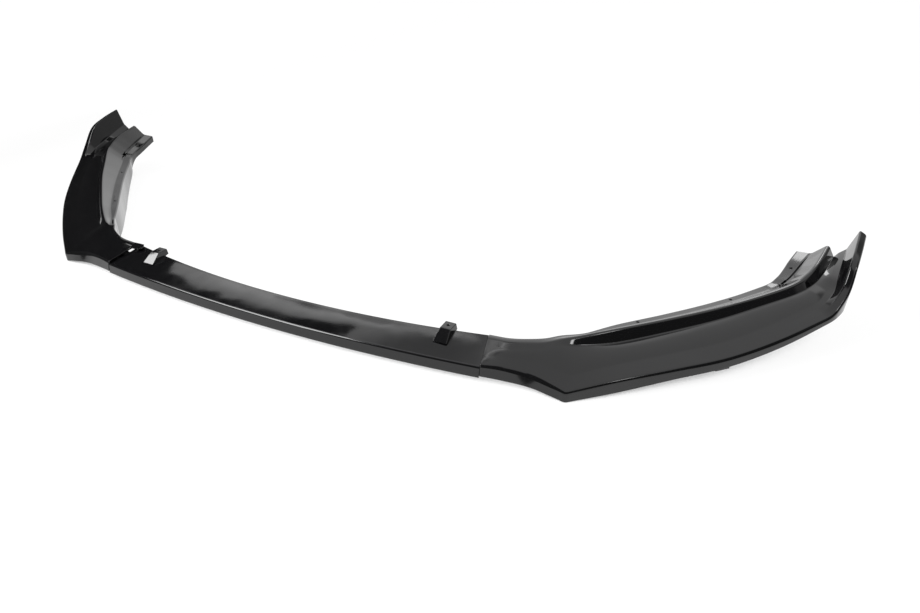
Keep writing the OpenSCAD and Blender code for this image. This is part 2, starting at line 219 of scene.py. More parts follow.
def side_corners(t):
    """Corner points of the right blade's section by name, and the points of the crowned top."""
    offset = np.array([SEAM_X + LAP_GAP, 0, 0])
    edge = along(EDGE_LINE, t, SHARP) + offset
    margin = along(MARGIN, t, SHARP)
    crest = along(CREST_LINE, t) + offset
    inward = unit(flat(crest - edge))
    foot = crest - inward * RIDGE_WALL_RUN - up(along(WALL_DROP, t))
    span = np.linalg.norm(flat(foot - edge))
    climb = (foot[2] - margin) / span

    def on_top(run, rise):
        return flat(edge) + inward * run + up(margin + climb * run + rise)

    crown = TOP_CROWN * max(0.0, min(1.0, t / FRONT_CORNER, OUTER_CORNER + 1 - t, span / CROWN_SPAN))
    facet = on_top(along(FACET_RUN, t), along(FACET_RISE, t))
    valley = crest + inward * along(SLOPE_RUN, t) - up(along(SLOPE_DROP, t))
    share = along(FLANGE_SHARE, t)
    flange = valley + inward * FLANGE_W * share - up(FLANGE_FALL * share)
    lower_z = max(0.0, edge[2] - along(FACE_H, t, SHARP))
    corners = {
        "lower": flat(edge - inward * along(FACE_LEAN, t)) + up(lower_z),
        "edge": edge,
        "rim": on_top(FIN_EDGE_W, edge[2] - margin),
        "fin_foot": on_top(along(FOOT_RUN, t), along(FOOT_RISE, t)),
        "facet": facet,
        "foot": foot,
        "crest": crest,
        "valley": valley,
        "flange": flange,
        "skirt": flat(flange) + up(max(0.0, flange[2] - along(SKIRT_H, t)))}
    crown_points = []
    for i in range(1, CROWN_STEPS):
        u = i / CROWN_STEPS
        crown_points.append(facet + (foot - facet) * u + up(crown * (1 - (2 * u - 1) ** 2)))
    return corners, crown_points


def rounded(before, corner, after, fillet, steps):
    """A corner rounded by a curve that starts and ends a fillet away from it."""
    reach = min(fillet, 0.45 * np.linalg.norm(before - corner), 0.45 * np.linalg.norm(after - corner))
    start = corner + unit(before - corner) * reach
    end = corner + unit(after - corner) * reach
    points = []
    for i in range(steps + 1):
        u = i / steps
        points.append(start * (1 - u) ** 2 + corner * 2 * u * (1 - u) + end * u * u)
    return points


def rounded_line(points, fillets):
    """A section's points, rounded wherever fillets gives a size and a number of steps."""
    out = []
    for j, p in enumerate(points):
        if fillets[j]:
            out += rounded(points[j - 1], p, points[j + 1], *fillets[j])
        else:
            out.append(p)
    return out


def side_section(t):
    c, crown = side_corners(t)
    points = [c["lower"], c["edge"], c["rim"], c["fin_foot"], c["facet"], *crown,
              c["foot"], c["crest"], c["valley"], c["flange"], c["skirt"]]
    fillets = [None, (EDGE_FILLET, 8), (RIM_FILLET, 5), (CREASE_FILLET, 3), (CREASE_FILLET, 2),
               *[None] * len(crown),
               (FOOT_FILLET, 6), (CREST_FILLET, 10), (FOOT_FILLET, 6), (RIM_FILLET, 5), None]
    return rounded_line(points, fillets)


def inner_side_section(t):
    """A plainer section of the outer skin, which the inner skin is moved in from."""
    c, crown = side_corners(t)
    crown = crown[2::3]
    points = [c["lower"], c["edge"], c["rim"], c["fin_foot"], c["facet"], *crown,
              c["foot"], c["crest"], c["valley"], c["flange"], c["skirt"]]
    fillets = [None, (EDGE_FILLET, 3), (RIM_FILLET, 1), None, None, *[None] * len(crown),
               (FOOT_FILLET, 2), (CREST_FILLET, 4), (FOOT_FILLET, 2), (RIM_FILLET, 1), None]
    return rounded_line(points, fillets)


def front_y(x):
    return -FRONT_BOW * (1 - (x / SEAM_X) ** 2)


def rear_y(x):
    return CENTRE_DEPTH - FRONT_BOW + REAR_BOW * (x / SEAM_X) ** 2


def top_at(x, y):
    return TOP_Z + CENTRE_RISE * (y - front_y(x)) / (rear_y(x) - front_y(x))


def top_tilt(x):
    return math.atan(CENTRE_RISE / (rear_y(x) - front_y(x)))


def centre_section(share, top_steps, fillet_steps):
    front_x = share * SEAM_X
    rear_x = share * (SEAM_X - SEAM_SLANT)
    lower = np.array([front_x, front_y(front_x) - FACE_RAKE, CENTRE_LIFT])
    edge = np.array([front_x, front_y(front_x), TOP_Z])
    rear = np.array([rear_x, rear_y(rear_x), TOP_Z + CENTRE_RISE])
    top = []
    for i in range(1, top_steps):
        u = i / top_steps
        top.append(edge + (rear - edge) * u - up(CENTRE_SCOOP * (1 - (2 * u - 1) ** 2)))
    return rounded_line([lower, edge, *top, rear],
                        [None, (EDGE_FILLET, fillet_steps), *[None] * len(top), None])


def tongue_section(x):
    edge_y = front_y(x) + TONGUE_SETBACK
    end_y = rear_y(x) - TONGUE_REAR_CUT
    drop = WALL - TONGUE_OVERLAP
    edge = np.array([x, edge_y, top_at(x, edge_y) - drop])
    lower = np.array([x, edge_y - FACE_RAKE, CENTRE_LIFT])
    rear = np.array([x, end_y, top_at(x, end_y) - drop])
    return rounded_line([lower, edge, rear], [None, (EDGE_FILLET, 6), None])


def soften(rings, places, corner, before, after):
    """Rounds the rings near a sharp station, seen from above, between two distances from it."""
    start, middle, end = (int(np.argmin(np.abs(places - t)))
                          for t in (corner - before, corner, corner + after))
    a, b, c = rings[start].copy(), rings[middle].copy(), rings[end].copy()
    for i in range(start, end + 1):
        u = (i - start) / (end - start)
        rings[i] = a * (1 - u) ** 2 + b * 2 * u * (1 - u) + c * u * u


def normals_beside(rings, i, j):
    """Normals of the faces before and after a point of a skin."""
    last_i, last_j = rings.shape[0] - 1, rings.shape[1] - 1
    lengthwise = rings[min(i + 1, last_i), j] - rings[max(i - 1, 0), j]
    before = rings[i, max(j, 1)] - rings[i, max(j, 1) - 1]
    after = rings[i, min(j, last_j - 1) + 1] - rings[i, min(j, last_j - 1)]
    return unit(np.cross(lengthwise, before)), unit(np.cross(lengthwise, after))


def moved_in(rings):
    """The inner skin of a shell: each point moved in by the wall, square to the faces beside it."""
    out = np.empty_like(rings)
    for i in range(rings.shape[0]):
        for j in range(rings.shape[1]):
            n0, n1 = normals_beside(rings, i, j)
            out[i, j] = rings[i, j] - WALL * (n0 + n1) / (1 + n0 @ n1)
    return out


def rolled(rings, sign):
    """A skin with its borders rolled towards the other skin, so that cut edges are rounded."""
    last_i, last_j = rings.shape[0] - 1, rings.shape[1] - 1
    rows, columns = ([(0, a) for a in ROLL] + [(k, 0.0) for k in range(last + 1)]
                     + [(last, a) for a in ROLL[::-1]] for last in (last_i, last_j))
    out = np.empty((len(rows), len(columns), 3))
    for r, (i, a) in enumerate(rows):
        for s, (j, b) in enumerate(columns):
            p = rings[i, j].copy()
            if i in (0, last_i):
                neighbour = rings[1 if i == 0 else i - 1, j]
                p += unit(neighbour - rings[i, j]) * CUT_EDGE_BEVEL * (1 - math.sin(a))
            if j in (0, last_j):
                neighbour = rings[i, 1 if j == 0 else j - 1]
                p += unit(neighbour - rings[i, j]) * CUT_EDGE_BEVEL * (1 - math.sin(b))
            if a or b:
                normal = unit(sum(normals_beside(rings, i, j)))
                p -= sign * normal * CUT_EDGE_BEVEL * (1 - math.cos(max(a, b)))
            out[r, s] = p
    return out


# Materials

def plain_nodes(name):
    material = bpy.data.materials.new(name)
    material.use_nodes = True
    nodes, links = material.node_tree.nodes, material.node_tree.links
    return material, nodes, links, nodes["Principled BSDF"]


def noise(nodes, links, coords, scale, detail=3.0, roughness=0.5):
    node = nodes.new("ShaderNodeTexNoise")
    node.inputs["Scale"].default_value = scale
    node.inputs["Detail"].default_value = detail
    node.inputs["Roughness"].default_value = roughness
    links.new(coords, node.inputs["Vector"])
    return node.outputs["Fac"]


def spread(nodes, links, value, low, high, to_low, to_high):
    """A value's range from low to high, spread smoothly over another range."""
    node = nodes.new("ShaderNodeMapRange")
    node.interpolation_type = "SMOOTHSTEP"
    for socket, number in (("From Min", low), ("From Max", high), ("To Min", to_low), ("To Max", to_high)):
        node.inputs[socket].default_value = number
    links.new(value, node.inputs["Value"])
    return node.outputs["Result"]


def calculated(nodes, links, operation, *values):
    """Output of a math node whose inputs are numbers or other nodes' outputs."""
    node = nodes.new("ShaderNodeMath")
    node.operation = operation
    for k, value in enumerate(values):
        if isinstance(value, (int, float)):
            node.inputs[k].default_value = value
        else:
            links.new(value, node.inputs[k])
    return node.outputs[0]


def tinted(nodes, links, value, low, high):
    """A colour that runs between two colours with a value."""
    node = nodes.new("ShaderNodeMixRGB")
    node.inputs["Color1"].default_value = (*low, 1)
    node.inputs["Color2"].default_value = (*high, 1)
    links.new(value, node.inputs["Fac"])
    return node.outputs["Color"]


def bumped(nodes, links, heights, shader):
    """Bumps from pairs of a height and its depth in metres, one over the other."""
    normal = None
    for height, depth in heights:
        bump = nodes.new("ShaderNodeBump")
        bump.inputs["Distance"].default_value = depth
        links.new(height, bump.inputs["Height"])
        if normal:
            links.new(normal, bump.inputs["Normal"])
        normal = bump.outputs["Normal"]
    links.new(normal, shader.inputs["Normal"])


def gloss_plastic():
    """Polished black plastic: faint flow waves, orange peel, and a little dust."""
    material, nodes, links, shader = plain_nodes("moulded_gloss")
    coords = nodes.new("ShaderNodeTexCoord").outputs["Object"]
    shader.inputs["IOR"].default_value = 1.5
    smear = spread(nodes, links, noise(nodes, links, coords, 14, 5, 0.6), 0.35, 0.7, 0.055, 0.11)
    links.new(smear, shader.inputs["Roughness"])
    speck = spread(nodes, links, noise(nodes, links, coords, 900, 1), 0.78, 0.86, 0.0, 1.0)
    links.new(tinted(nodes, links, speck, (0.0032, 0.0032, 0.0036), (0.03, 0.03, 0.03)),
              shader.inputs["Base Color"])
    bumped(nodes, links, [(noise(nodes, links, coords, 9, 2), 0.0011),
                          (noise(nodes, links, coords, 420, 2), 0.000012)], shader)
    return material


def satin_plastic():
    """The side of the moulding that nobody sees: eroded grain, with flow marks."""
    material, nodes, links, shader = plain_nodes("moulded_inner")
    coords = nodes.new("ShaderNodeTexCoord").outputs["Object"]
    shader.inputs["IOR"].default_value = 1.5
    grain = noise(nodes, links, coords, 1600, 3, 0.7)
    flow = noise(nodes, links, coords, 22, 4, 0.6)
    links.new(spread(nodes, links, flow, 0.3, 0.7, 0.34, 0.5), shader.inputs["Roughness"])
    links.new(tinted(nodes, links, flow, (0.011, 0.011, 0.012), (0.017, 0.017, 0.018)),
              shader.inputs["Base Color"])
    bumped(nodes, links, [(grain, 0.00006)], shader)
    return material


def zinc_plate():
    """Bright zinc plate with a faint bluish and yellow bloom."""
    material, nodes, links, shader = plain_nodes("zinc_plate")
    coords = nodes.new("ShaderNodeTexCoord").outputs["Object"]
    shader.inputs["Metallic"].default_value = 1.0
    bloom = noise(nodes, links, coords, 260, 3, 0.6)
    links.new(tinted(nodes, links, bloom, (0.56, 0.59, 0.64), (0.70, 0.69, 0.62)),
              shader.inputs["Base Color"])
    links.new(spread(nodes, links, noise(nodes, links, coords, 1900, 4, 0.7), 0.3, 0.7, 0.22, 0.42),
              shader.inputs["Roughness"])
    bumped(nodes, links, [(noise(nodes, links, coords, 2600, 2), 0.00001)], shader)
    return material


GLOSS = gloss_plastic()
INNER = satin_plastic()
ZINC = zinc_plate()


# Meshes

def in_frame(points):
    return [Vector((p[0] * MM, (p[1] + SHIFT_Y) * MM, p[2] * MM)) for p in points]


def new_object(name, mesh):
    obj = bpy.data.objects.new(name, mesh)
    bpy.context.collection.objects.link(obj)
    return obj


def mesh_from(bm, materials=(GLOSS, INNER)):
    bmesh.ops.recalc_face_normals(bm, faces=bm.faces)
    mesh = bpy.data.meshes.new("mesh")
    bm.to_mesh(mesh)
    bm.free()
    for material in materials:
        mesh.materials.append(material)
    return mesh


def shell_mesh(outer, inner):
    """A closed shell between two skins of rings. Faces of the inner skin get the second material."""
    bm = bmesh.new()
    skins = [[[bm.verts.new(p) for p in in_frame(ring)] for ring in rings]
             for rings in (rolled(outer, 1), rolled(inner, -1))]
    for material, grid in enumerate(skins):
        for i in range(len(grid) - 1):
            for j in range(len(grid[0]) - 1):
                face = bm.faces.new((grid[i][j], grid[i][j + 1], grid[i + 1][j + 1], grid[i + 1][j]))
                face.material_index = material
    outside, inside = skins
    for i in range(len(outside) - 1):
        for j in (0, -1):
            bm.faces.new((outside[i][j], outside[i + 1][j], inside[i + 1][j], inside[i][j]))
    for i in (0, -1):
        bm.faces.new(outside[i] + inside[i][::-1])
    return mesh_from(bm)


def evaluated(obj):
    """The object's mesh with its modifiers applied. The object itself goes."""
    graph = bpy.context.evaluated_depsgraph_get()
    mesh = bpy.data.meshes.new_from_object(obj.evaluated_get(graph))
    bpy.data.objects.remove(obj)
    return mesh


def bevelled(mesh, width, segments=2, angle=50.0):
    obj = new_object("bevel_work", mesh)
    bevel = obj.modifiers.new("bevel", "BEVEL")
    bevel.width = width * MM
    bevel.segments = segments
    bevel.limit_method = "ANGLE"
    bevel.angle_limit = math.radians(angle)
    return evaluated(obj)


def carved(mesh, steps):
    """The mesh after steps, each an operation and the mesh that it adds or takes away."""
    obj = new_object("carve_work", mesh)
    tools = []
    for operation, other in steps:
        tools.append(new_object("tool", other))
        boolean = obj.modifiers.new("carve", "BOOLEAN")
        boolean.operation = operation
        boolean.solver = "EXACT"
        boolean.object = tools[-1]
    result = evaluated(obj)
    for tool in tools:
        bpy.data.objects.remove(tool)
    return result


def joined(meshes):
    bm = bmesh.new()
    for mesh in meshes:
        bm.from_mesh(mesh)
    return mesh_from(bm)


def mirrored(mesh):
    """A copy of the mesh on the other side of the car."""
    bm = bmesh.new()
    bm.from_mesh(mesh)
    bmesh.ops.scale(bm, verts=bm.verts, vec=Vector((-1, 1, 1)))
    bmesh.ops.reverse_faces(bm, faces=bm.faces)
    copy = bpy.data.meshes.new("mesh")
    bm.to_mesh(copy)
    bm.free()
    for material in mesh.materials:
        copy.materials.append(material)
    return copy


def placed(bm, matrix, materials=(GLOSS, INNER)):
    """A mesh made in millimetres in its own axes, moved to its place in the frame."""
    to_frame = Matrix.Translation((0, SHIFT_Y * MM, 0)) @ Matrix.Scale(MM, 4) @ matrix
    bmesh.ops.transform(bm, verts=bm.verts, matrix=to_frame)
    return mesh_from(bm, materials)


def at(point, tilt=0.0, turn=0.0):
    return (Matrix.Translation(Vector(point)) @ Matrix.Rotation(turn, 4, "Z")
            @ Matrix.Rotation(tilt, 4, "X"))


def cylinder(matrix, diameter, bottom, top):
    bm = bmesh.new()
    bmesh.ops.create_cone(bm, cap_ends=True, segments=ROUND_SIDES, radius1=diameter / 2,
                          radius2=diameter / 2, depth=top - bottom)
    bmesh.ops.translate(bm, verts=bm.verts, vec=(0, 0, (top + bottom) / 2))
    return placed(bm, matrix)


def hole(matrix, diameter, depth):
    """A cutter for a round hole whose mouth, at the height 0, has a small chamfer."""
    r, c = diameter / 2, HOLE_CHAMFER
    mouth = r + 2 * c
    profile = [(0, -depth), (r, -depth), (r, -c), (mouth, c), (mouth, depth), (0, depth)]
    return lathe(matrix, profile, (GLOSS, INNER))


def block(matrix, low, high):
    bm = bmesh.new()
    bmesh.ops.create_cube(bm, size=1.0)
    bmesh.ops.scale(bm, verts=bm.verts, vec=Vector(high) - Vector(low))
    bmesh.ops.translate(bm, verts=bm.verts, vec=(Vector(high) + Vector(low)) / 2)
    return placed(bm, matrix)


def prism(matrix, outline, low_y, high_y):
    """An outline of X and Z, drawn out along Y."""
    bm = bmesh.new()
    near, far = ([bm.verts.new((x, y, z)) for x, z in outline] for y in (low_y, high_y))
    bm.faces.new(near)
    bm.faces.new(far[::-1])
    for k in range(len(outline)):
        after = (k + 1) % len(outline)
        bm.faces.new((near[k], far[k], far[after], near[after]))
    return placed(bm, matrix)


def hull(points):
    bm = bmesh.new()
    for p in in_frame(points):
        bm.verts.new(p)
    result = bmesh.ops.convex_hull(bm, input=bm.verts)
    loose = result["geom_interior"] + result["geom_unused"]
    spare = {v for v in loose if isinstance(v, bmesh.types.BMVert)}
    bmesh.ops.delete(bm, geom=list(spare), context="VERTS")
    bmesh.ops.dissolve_limit(bm, angle_limit=math.radians(1), verts=bm.verts, edges=bm.edges)
    return mesh_from(bm)


def lathe(matrix, profile, materials):
    """A profile of radius and height, turned about Z. It is closed where it starts off the axis."""
    bm = bmesh.new()
    rows = []
    for radius, height in profile:
        if radius == 0:
            rows.append([bm.verts.new((0, 0, height))])
        else:
            rows.append([bm.verts.new((radius * math.cos(a), radius * math.sin(a), height))
                         for a in np.linspace(0, 2 * math.pi, ROUND_SIDES, endpoint=False)])
    pairs = list(zip(rows, rows[1:]))
    if len(rows[0]) > 1:
        pairs.append((rows[-1], rows[0]))
    for low, high in pairs:
        for k in range(ROUND_SIDES):
            after = (k + 1) % ROUND_SIDES
            ring = [low[k % len(low)], low[after % len(low)], high[after % len(high)], high[k % len(high)]]
            bm.faces.new(list(dict.fromkeys(ring)))
    return placed(bm, matrix, materials)


def finished(name, mesh, node, smooth_angle=40.0):
    """The mesh as a shaded piece that stands for its node."""
    obj = new_object(name, mesh)
    mesh.shade_smooth()
    mesh.set_sharp_from_angle(angle=math.radians(smooth_angle))
    weighted = obj.modifiers.new("weighted", "WEIGHTED_NORMAL")
    weighted.keep_sharp = True
    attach(obj, "root")
    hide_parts(node)
    return obj


# Centre blade

FRONT_SCREW = front_y(SCREW_X) + FRONT_SCREW_Y
SCREW_ROWS = {"front": FRONT_SCREW, "rear": FRONT_SCREW + SCREW_PITCH}


def at_screw(y):
    return at((SCREW_X, y, top_at(SCREW_X, y) - WALL + TONGUE_OVERLAP), tilt=top_tilt(SCREW_X))


def shell_of(sections, inner_sections):
    return shell_mesh(np.array(sections), moved_in(np.array(inner_sections)))


def tongue():
    sections = [tongue_section(x) for x in (SEAM_X - TONGUE_ROOT, SEAM_X, SCREW_X, SEAM_X + TONGUE_LEN)]
    return shell_of(sections, sections)


BRACKET_REAR = rear_y(BRACKET_X) + BRACKET_OVERHANG
BRACKET_FLOOR = top_at(BRACKET_X, rear_y(BRACKET_X)) - 2 * WALL


def bracket_block(margin, drop=0.0):
    """Tapered block whose rear face is upright, drawn in by a margin on every side."""
    points = []
    for (width, depth), z in ((BRACKET_BASE, BRACKET_FLOOR - drop), (BRACKET_TOP, BRACKET_TOP_Z - margin)):
        for x in (-width / 2 + margin, width / 2 - margin):
            for y in (BRACKET_REAR - depth + margin, BRACKET_REAR - margin):
                points.append((BRACKET_X + x, y, z))
    return hull(points)


def bracket():
    under = at((BRACKET_X, rear_y(BRACKET_X), top_at(BRACKET_X, rear_y(BRACKET_X)) - WALL),
               tilt=top_tilt(BRACKET_X))
    width, depth = BRACKET_BASE
    below = block(under, (-width, -2 * depth, -BRACKET_TOP_Z), (width, 2 * depth, 0))
    return carved(bevelled(bracket_block(0), BRACKET_ROUND, 3, 20), [("DIFFERENCE", below)])


def both(mesh):
    return [mesh, mirrored(mesh)]


def centre_blade():
    shares = np.linspace(-1, 1, CENTRE_RINGS + 1)
    shell = shell_of([centre_section(s, 9, 8) for s in shares], [centre_section(s, 2, 3) for s in shares])
    screw_holes = [cylinder(at_screw(y), SCREW_D + 2 * LAP_GAP, -2 * WALL, WALL)
                   for y in SCREW_ROWS.values()]
    bracket_hole = hole(at((BRACKET_X, BRACKET_REAR - BRACKET_TOP[1] / 2, BRACKET_TOP_Z)),
                        BRACKET_HOLE_D, 2 * BRACKET_WALL)
    return carved(shell, [
        ("UNION", joined(both(tongue()) + both(bracket()))),
        ("DIFFERENCE", joined(both(bracket_block(BRACKET_WALL, CUT_EDGE_BEVEL))
                              + both(screw_holes[0]) + both(screw_holes[1]))),
        ("DIFFERENCE", joined(both(bracket_hole)))])


# Side blades

PLACES = np.linspace(0, LAST_STATION, LAST_STATION * RINGS_A_STATION + 1)


def side_shell():
    skins = []
    for section in (side_section, inner_side_section):
        rings = np.array([section(t) for t in PLACES])
        soften(rings, PLACES, FRONT_CORNER, *FRONT_SOFT)
        soften(rings, PLACES, OUTER_CORNER, *OUTER_SOFT)
        skins.append(rings)
    return shell_mesh(skins[0], moved_in(skins[1]))


def screw_bosses():
    """Bosses that reach from the tongue's top into the wall above it."""
    low = []
    for t in np.linspace(0, 2, 7):
        c, crown = side_corners(t)
        ring = [c["edge"], c["rim"], c["fin_foot"], c["facet"], *crown, c["foot"], c["crest"]]
        low.append([p - up(WALL / 2) for p in ring])
    low = np.array(low)
    above = shell_mesh(low + up(2 * BOSS_TOP), low)
    bosses = joined([cylinder(at_screw(y), BOSS_D, LAP_GAP, BOSS_TOP) for y in SCREW_ROWS.values()])
    return carved(bosses, [("DIFFERENCE", above)])


def fin_end():
    """Thin wall that closes the rear end of the hollow fin."""
    c = side_corners(LAST_STATION)[0]
    forward = unit(side_corners(LAST_STATION - 0.1)[0]["lower"] - c["lower"])
    face = side_section(LAST_STATION)[:FIN_POINTS] + [flat(c["fin_foot"]) + up(c["lower"][2] + WALL)]
    middle = sum(face) / len(face)
    face = [p + unit(middle - p) * WALL / 2 for p in face]
    return hull([p + forward * reach for p in face for reach in (CUT_EDGE_BEVEL / 2, WALL)])


def underside_tab():
    low, after = (side_corners(t)[0]["lower"] for t in (TAB_STATION, TAB_STATION + 0.2))
    turn = math.atan2(after[1] - low[1], after[0] - low[0])
    height = 0.6 * FACE_H[round(TAB_STATION)]
    tab = block(at(low, turn=turn), (-TAB_LEN / 2, TAB_INSET, -TAB_DROP),
                (TAB_LEN / 2, TAB_INSET + WALL, height))
    return bevelled(tab, CUT_EDGE_BEVEL)


def slot_place(rise=0.0):
    """The slot's place in the valley: X runs along the valley, and Z is up."""
    behind, c, ahead = (side_corners(SLOT_STATION + step)[0] for step in (-0.2, 0, 0.2))
    way = ahead["valley"] - behind["valley"]
    return at(c["valley"] + up(rise), turn=math.atan2(way[1], way[0]))


def side_holes():
    holes = []
    for t in HOLE_STATIONS:
        c = side_corners(t)[0]
        holes.append(hole(at((c["valley"] + c["flange"]) / 2), FLANGE_HOLE_D, 3 * WALL))
    holes.append(block(slot_place(-WALL), (-SLOT_LEN / 2, -SLOT_W / 2, -WALL),
                       (SLOT_LEN / 2, SLOT_W / 2, 3 * WALL)))
    for y in SCREW_ROWS.values():
        holes.append(cylinder(at_screw(y), SCREW_D + LAP_GAP, -WALL, SCREW_REACH))
    return joined(holes)


def pocket():
    """Walls and floor that close the slot from below, so that it is a dark pocket."""
    place = slot_place()
    half_l, half_w, skin = SLOT_LEN / 2, SLOT_W / 2, POCKET_WALL
    bottom = -2 * WALL - skin
    walls = [((-half_l - skin, -half_w - skin, bottom), (half_l + skin, half_w + skin, bottom + skin)),
             ((-half_l - skin, -half_w - skin, bottom), (half_l + skin, -half_w, POCKET_RIDGE_TOP)),
             ((-half_l - skin, half_w, bottom), (half_l + skin, half_w + skin, -POCKET_SINK))]
    for x in (-half_l - skin, half_l):
        walls.append(((x, -half_w, bottom), (x + skin, half_w, -POCKET_SINK)))
    return joined([block(place, low, high) for low, high in walls])


def valley_groove():
    """Cutter for the groove that runs along the valley at the outer corner, and fades at both ends."""
    rings = []
    for t in np.linspace(*GROOVE_STATIONS, GROOVE_RINGS):
        c = side_corners(t)[0]
        u = (t - GROOVE_STATIONS[0]) / (GROOVE_STATIONS[1] - GROOVE_STATIONS[0])
        fade = min(1.0, GROOVE_FADE * u, GROOVE_FADE * (1 - u))
        size = GROOVE_END_SIZE + (1 - GROOVE_END_SIZE) * fade
        side = unit(flat(c["valley"] - c["crest"]))
        rings.append([c["valley"] + side * GROOVE_W / 2 * size * x + up(GROOVE_DEPTH * size * z)
                      for x, z in GROOVE_OUTLINE])
    bm = bmesh.new()
    grid = [[bm.verts.new(p) for p in in_frame(ring)] for ring in rings]
    for low, high in zip(grid, grid[1:]):
        for k in range(len(low)):
            after = (k + 1) % len(low)
            bm.faces.new((low[k], low[after], high[after], high[k]))
    bm.faces.new(grid[0])
    bm.faces.new(grid[-1][::-1])
    return mesh_from(bm)


def lug(level):
    """Locating lug at the rear of the seam. Its level is its height over the centre blade's top."""
    x = SEAM_X - SEAM_SLANT / 2
    front = rear_y(SEAM_X) - TONGUE_REAR_CUT + LUG_BEHIND_CUT
    low, top = LUG_ROOT_LEVEL, LUG_ROOT_LEVEL + LUG_THICK
    outline = [(LUG_ROOT, low), (LUG_RAMP, low), (1, level), (-LUG_LEN, level),
               (-LUG_LEN, level + LUG_THICK), (2, level + LUG_THICK), (LUG_RAMP + 1, top), (LUG_ROOT, top)]
    place = at((x, front, top_at(x, front)), tilt=top_tilt(x))
    tip_cuts = []
    for y, sign in ((0, 1), (LUG_W, -1)):
        cut = Matrix.Translation((-LUG_LEN, y, 0)) @ Matrix.Rotation(sign * math.radians(45), 4, "Z")
        half = LUG_TIP_CUT / math.sqrt(2)
        tip_cuts.append(block(place @ cut, (-3 * half, -half, -2 * LUG_LEN), (half, half, 2 * LUG_LEN)))
    mesh = carved(prism(place, outline, 0, LUG_W), [("DIFFERENCE", tip) for tip in tip_cuts])
    return bevelled(mesh, LUG_ROUND, 3, 25)


def side_blades():
    shell = carved(side_shell(), [("UNION", joined([screw_bosses(), fin_end(), underside_tab()])),
                                  ("DIFFERENCE", side_holes()), ("DIFFERENCE", valley_groove())])
    shell = joined([shell, pocket()])
    blades = []
    for level in (-WALL - LAP_GAP - LUG_THICK, WALL):
        blades.append(joined([shell, lug(level)]))
    return blades[0], mirrored(blades[1])


# Joint screws

SCREW_SEAT = -WALL - WASHER_H - 2 * LAP_GAP
SCREW_CORE = SCREW_D / 2 - THREAD_DEPTH


def screw_blank(y):
    """Pan head and plain shank."""
    rim, crown = SCREW_HEAD_D / 2, SCREW_SEAT - SCREW_HEAD_H
    profile = [(0, crown)]
    for i in range(1, SCREW_HEAD_STEPS + 1):
        a = math.radians(90 * i / SCREW_HEAD_STEPS)
        profile.append((rim * (0.62 + 0.38 * math.sin(a)) if i > 1 else rim * 0.6,
                        crown + (1 - math.cos(a)) * SCREW_HEAD_H * 0.7))
    profile += [(rim, SCREW_SEAT - 0.3), (rim - 0.3, SCREW_SEAT)]
    end = SCREW_REACH - 1
    profile += [(SCREW_CORE, SCREW_SEAT), (SCREW_CORE, end - SCREW_TIP), (SCREW_CORE * 0.7, end), (0, end)]
    return lathe(at_screw(y), profile, (ZINC,))


def recess_wing(y, turn):
    """Cutter for one slot of the cross recess."""
    wing = (at_screw(y) @ Matrix.Translation((0, 0, SCREW_SEAT - SCREW_HEAD_H))
            @ Matrix.Rotation(turn, 4, "Z"))
    return block(wing, (-RECESS_LEN / 2, -RECESS_W / 2, -1), (RECESS_LEN / 2, RECESS_W / 2, RECESS_DEPTH))


def screw_thread(y):
    """A three-sided ridge that winds round the shank."""
    bm = bmesh.new()
    turns = (SCREW_REACH - 1.6 - SCREW_SEAT) / THREAD_PITCH
    root = SCREW_CORE - THREAD_ROOT
    outline = ((root, -THREAD_HALF_W), (SCREW_D / 2, 0), (root, THREAD_HALF_W))
    rings = []
    for k in range(int(turns * THREAD_SIDES)):
        a = 2 * math.pi * k / THREAD_SIDES
        z = SCREW_SEAT + 0.1 + THREAD_PITCH * k / THREAD_SIDES + THREAD_HALF_W
        rings.append([bm.verts.new((r * math.cos(a), r * math.sin(a), z + dz)) for r, dz in outline])
    for low, high in zip(rings, rings[1:]):
        for j in range(len(outline)):
            after = (j + 1) % len(outline)
            bm.faces.new((low[j], low[after], high[after], high[j]))
    bm.faces.new(rings[0])
    bm.faces.new(rings[-1][::-1])
    return placed(bm, at_screw(y), (ZINC,))


def screw(y):
    """Pan head with a cross recess, and a threaded shank."""
    head = carved(screw_blank(y), [("DIFFERENCE", recess_wing(y, turn)) for turn in (0, math.pi / 2)])
    bm = bmesh.new()
    bm.from_mesh(head)
    bm.from_mesh(screw_thread(y))
    return mesh_from(bm, (ZINC,))


def washer(y):
    low, high = -WALL - WASHER_H - LAP_GAP, -WALL - LAP_GAP
    inner, outer, soft = SCREW_D / 2 + LAP_GAP, WASHER_D / 2, WASHER_ROUND
    profile = [(inner, low + soft), (inner + soft, low), (outer - soft, low), (outer, low + soft),
               (outer, high - soft), (outer - soft, high), (inner + soft, high), (inner, high - soft)]
    return lathe(at_screw(y), profile, (ZINC,))


right_mesh, left_mesh = side_blades()
finished("centre_blade_moulding", centre_blade(), "centre_blade")
finished("right_blade_moulding", right_mesh, "right_blade")
finished("left_blade_moulding", left_mesh, "left_blade")
for row, screw_y in SCREW_ROWS.items():
    for kind, make in (("screw", screw), ("washer", washer)):
        mesh = make(screw_y)
        finished(f"left_{row}_{kind}_zinc", mirrored(mesh), f"left_{row}_{kind}", 30)
        finished(f"right_{row}_{kind}_zinc", mesh, f"right_{row}_{kind}", 30)


# Studio

FLOOR_HALF = 12.0
FLOOR_DROP = 0.0006
FLOOR_COLOUR = (0.85, 0.85, 0.85, 1)
FLOOR_GLOW = 0.9
FLOOR_SEEN = 1.05
FLOOR_REFLECTED = 1.2
SHELTER_REACH = 0.12
SHELTER_RANGE = (0.04, 0.3)
SHELTER_SAMPLES = 6

